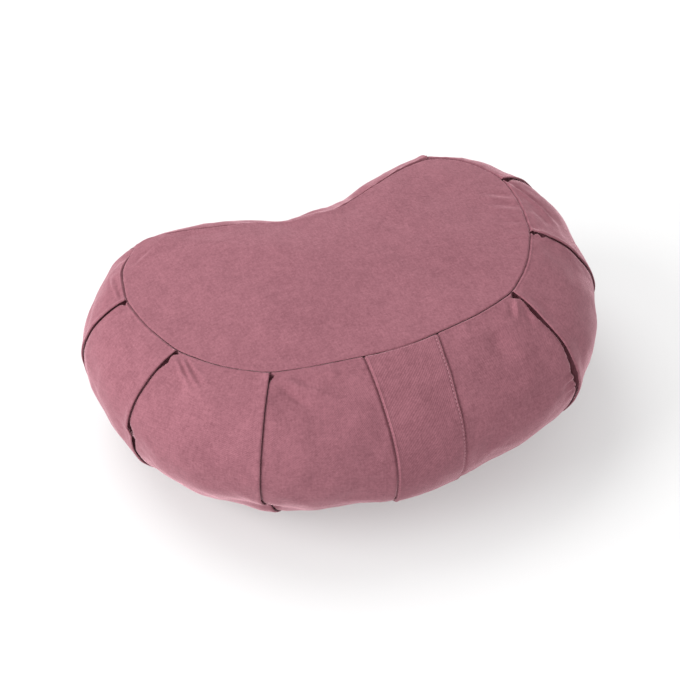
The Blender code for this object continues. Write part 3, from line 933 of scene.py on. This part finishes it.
def crowned_panel(scales):
    """Points of the crowned top panel, a row for each ring."""
    edge = seam_rise(panel_places)[None, :]
    middle = TOP_SEAM_HEIGHT + CROWN
    scale = scales[:, None]
    x, y = panel_x[None, :] * scale + CENTRE_X, panel_y[None, :] * scale + CENTRE_Y
    height = middle + (edge - middle) * scale ** CROWN_SHAPE + ROLLED_RIM * scale ** RIM_SHAPE
    reach = np.hypot(panel_x, panel_y)[None, :]
    inward = (1.0 - scale) * reach
    points = np.stack([x, y, height], axis=-1)
    drawn = seam_drawn(panel_places)[None, :]
    height -= RIM_DIP * drawn * bell(inward, RIM_DIP_WIDTH * drawn_width(drawn))
    height -= facet_drop(x, y)
    free = np.clip(inward / PANEL_FREE_FROM, 0.0, 1.0)
    height += soft_lumps(points, 21, PANEL_WIDE_LUMPS) * PANEL_WIDE_RISE * free
    height += soft_lumps(points, 22, PANEL_FINE_LUMPS) * PANEL_FINE_RISE * free
    puckers = soft_lumps(round_the_seam(panel_places, inward * PUCKER_STRETCH), 23, PUCKERS, 18)
    height += puckers * PUCKER_RISE * np.exp(-inward / PUCKER_LENGTH) + panel_folds(x, y)
    return np.stack([x, y, height], axis=-1)


def cloth_sheet(name, points, node):
    """A crescent of cloth from its rings of points, with its own thickness under it."""
    flat = np.stack([points[..., 0], points[..., 1]], axis=-1)
    piece = linked(name, sewn_up(grid_mesh(name, points, flat)))
    piece.data.materials.append(rose_twill)
    body = piece.modifiers.new("cloth_thickness", "SOLIDIFY")
    body.thickness = PANEL_CLOTH
    body.offset = -1.0
    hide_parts(node)
    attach(piece, "root")
    return piece


SEAM_ALLOWANCE = 0.010
crescent_area = 0.5 * abs(np.sum(panel_x[:-1] * panel_y[1:] - panel_x[1:] * panel_y[:-1]))
cut_area = float(crescent_area + SEAM_LENGTH * SEAM_ALLOWANCE)
rings = panel_scales()
top_panel = cloth_sheet("top_panel_cloth", crowned_panel(rings), "top_panel")


# The bottom panel: a second crescent cut from the same pattern and sewn in the same way. The
# weight of the filling presses it flat on the floor, and it turns up to its seam all round.
FLAT_TO = 0.90
TURN_UP_SHAPE = 1.6
FLOOR_CLEARANCE = 0.0004
RUMPLES, RUMPLE_RISE = (0.030, 0.080), 0.0004


def pressed_panel(scales):
    """Points of the bottom panel, a row for each ring."""
    scale = scales[:, None]
    x, y = panel_x[None, :] * scale + CENTRE_X, panel_y[None, :] * scale + CENTRE_Y
    part = np.clip((scale - FLAT_TO) / (1.0 - FLAT_TO), 0.0, 1.0)
    turned_up = BOTTOM_SEAM_HEIGHT * part ** TURN_UP_SHAPE
    points = np.stack([x, y, np.zeros_like(x)], axis=-1)
    rumple = RUMPLE_RISE * (1.0 + soft_lumps(points, 31, RUMPLES))
    return np.stack([x, y, FLOOR_CLEARANCE + np.maximum(rumple, 0.0) + turned_up], axis=-1)


bottom_panel = cloth_sheet("bottom_panel_cloth", pressed_panel(rings), "bottom_panel")


# The front band: a strip of the same twill, doubled and pressed, laid over the middle of the wall
# and caught in both seams. Its left edge is a loose fold and its right edge is topstitched down.
BAND_SECTION = (
    {"side": 0, "in": 0.0100, "proud": 0.0002},
    {"side": 0, "in": 0.0026, "proud": 0.0000},
    {"side": 0, "in": 0.0008, "proud": 0.0002},
    {"side": 0, "in": -0.0002, "proud": 0.0009},
    {"side": 0, "in": -0.0005, "proud": 0.0016},
    {"side": 0, "in": 0.0001, "proud": 0.0022},
    {"side": 0, "in": 0.0011, "proud": 0.0023},
    {"side": 0, "in": 0.0030, "proud": 0.0018},
    {"side": 0, "in": 0.0120, "proud": 0.0017},
    {"side": 1, "in": 0.0120, "proud": 0.0017},
    {"side": 1, "in": 0.0044, "proud": 0.0017},
    {"side": 1, "in": 0.0026, "proud": 0.0011},
    {"side": 1, "in": 0.0016, "proud": 0.0016},
    {"side": 1, "in": 0.0007, "proud": 0.0018},
    {"side": 1, "in": 0.0000, "proud": 0.0014},
    {"side": 1, "in": -0.0003, "proud": 0.0008},
    {"side": 1, "in": 0.0004, "proud": 0.0002},
    {"side": 1, "in": 0.0030, "proud": 0.0002},
    {"side": 1, "in": 0.0100, "proud": 0.0002},
)
BAND_MIDDLE_STEPS = 14
BAND_EDGE_STEPS = 3
BAND_ENDS = (0.002, 0.998)
BAND_CAUGHT = 0.15
BAND_CAUGHT_LENGTH = 0.045
BAND_WALE_PITCH = 0.0027
BAND_WALE_DEPTH = 0.00034
BAND_WALE_SHOW = 0.36
# The band's tone, set below the wall's: the same twill painted a shade darker, a painted shade.
BAND_SHADED_TONE = 0.42
band_left, band_right = BAND_EDGES[0]["place"], BAND_EDGES[1]["place"]


def band_section():
    """Places across the band and how proud each is, once round the strip's own thickness."""
    at = np.array([band_right - row["in"] / SEAM_LENGTH if row["side"] else
                   band_left + row["in"] / SEAM_LENGTH for row in BAND_SECTION])
    proud = np.array([row["proud"] for row in BAND_SECTION])
    at, proud = smooth_through(at, BAND_EDGE_STEPS), smooth_through(proud, BAND_EDGE_STEPS)
    gap = int(np.argmax(np.abs(np.diff(at))))
    fill = np.arange(1, BAND_MIDDLE_STEPS) / BAND_MIDDLE_STEPS
    wide = np.array([at[gap] + (at[gap + 1] - at[gap]) * part for part in fill])
    level = np.array([proud[gap] + (proud[gap + 1] - proud[gap]) * part for part in fill])
    return (np.concatenate([at[:gap + 1], wide, at[gap + 1:], at[:1]]),
            np.concatenate([proud[:gap + 1], level, proud[gap + 1:], proud[:1]]))


def on_wall(place, down, proud):
    """Points that stand proud of the wall's own surface, and the lengths down to them."""
    base = bare_wall(place, down)
    from_top = down_lengths(base)
    relief = wall_relief(place, base, from_top, from_top[-1:] - from_top)
    return base + wall_out(place, down) * (proud + relief)[..., None], from_top


band_at, band_proud = band_section()
band_down = down[(down > BAND_ENDS[0]) & (down < BAND_ENDS[1])][:, None]
band_place, band_down = np.broadcast_arrays(band_at[None, :], band_down)
band_free = smooth_step(np.minimum(band_down, 1.0 - band_down) / BAND_CAUGHT_LENGTH)
caught = BAND_CAUGHT + (1.0 - BAND_CAUGHT) * band_free
band_points, band_lengths = on_wall(band_place, band_down, band_proud[None, :] * caught)
band_uv = np.stack([band_place * SEAM_LENGTH, band_lengths], axis=-1)
band_mesh = grid_mesh("front_band_cloth", band_points, band_uv)
band = linked("front_band_cloth", sewn_up(band_mesh, close_ends=True))
# The band's copy of the twill, painted a shade darker than the wall's: painted shade.
band_twill = cloth_material("rose_twill_band", BAND_WALE_PITCH, BAND_WALE_DEPTH, BAND_WALE_SHOW,
                            BAND_SHADED_TONE)
band_mesh.materials.append(band_twill)
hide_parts("front_band")
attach(band, "root")


# The topstitching: one row of machine stitches in matching thread, a few millimetres in from the
# band's right edge, which holds the doubled strip down on the wall.
STITCH_PITCH = 0.0035
STITCH_LENGTH = 0.0026
STITCH_THICKNESS = 0.00080
STITCH_INSET = 0.0026
STITCH_RISE = 0.0013
STITCHED_FROM, STITCHED_TO = 0.03, 0.97
STITCH_ROW_SAMPLES = 400
STITCH_SIDES, STITCH_RINGS = 8, 6
THREAD_ROSE = (0.420, 0.200, 0.240)
THREAD_TWIST = 0.0004
THREAD_ROUGHNESS = 0.6

row_down = np.linspace(STITCHED_FROM, STITCHED_TO, STITCH_ROW_SAMPLES)[:, None]
row_place = np.full_like(row_down, band_right - STITCH_INSET / SEAM_LENGTH)
row_points, _ = on_wall(row_place, row_down, np.full_like(row_down, STITCH_RISE))
row_points = row_points[:, 0]
row_out = wall_out(row_place, row_down)[:, 0]
run = np.concatenate([[0.0], np.cumsum(np.linalg.norm(np.diff(row_points, axis=0), axis=-1))])
stitches = bmesh.new()
for index in range(int(run[-1] / STITCH_PITCH)):
    start = index * STITCH_PITCH
    ends = [np.array([np.interp(at, run, row_points[:, axis]) for axis in range(3)])
            for at in (start, start + STITCH_LENGTH)]
    way = Vector(ends[1] - ends[0]).normalized()
    outward = Vector([np.interp(start, run, row_out[:, axis]) for axis in range(3)])
    side = way.cross(outward).normalized()
    turn = Matrix((way, side, side.cross(way))).transposed().to_4x4()
    half = STITCH_THICKNESS / 2.0
    size = Matrix.Diagonal((STITCH_LENGTH / 2.0, half, half, 1.0))
    middle = Matrix.Translation(Vector((ends[0] + ends[1]) / 2.0))
    bmesh.ops.create_uvsphere(stitches, u_segments=STITCH_SIDES, v_segments=STITCH_RINGS,
                              radius=1.0, matrix=middle @ turn @ size)
stitch_mesh = bpy.data.meshes.new("band_topstitch")
stitches.to_mesh(stitch_mesh)
stitches.free()
stitch_mesh.shade_smooth()
topstitch = linked("band_topstitch", stitch_mesh)
thread, thread_shader, thread_root = start_material("rose_thread")
place_on = thread_root.node("ShaderNodeTexCoord", out="Object")
twist = thread_root.node("ShaderNodeTexNoise", {"noise_dimensions": "3D"}, Vector=place_on,
                         Scale=1.0 / THREAD_TWIST, Detail=1.0)
twist.blend(ROSE_WORN, THREAD_ROSE).feeds(thread_shader, "Base Color")
thread_shader.inputs["Roughness"].default_value = THREAD_ROUGHNESS
stitch_mesh.materials.append(thread)
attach(topstitch, "root")
band_width = (band_right - band_left) * SEAM_LENGTH
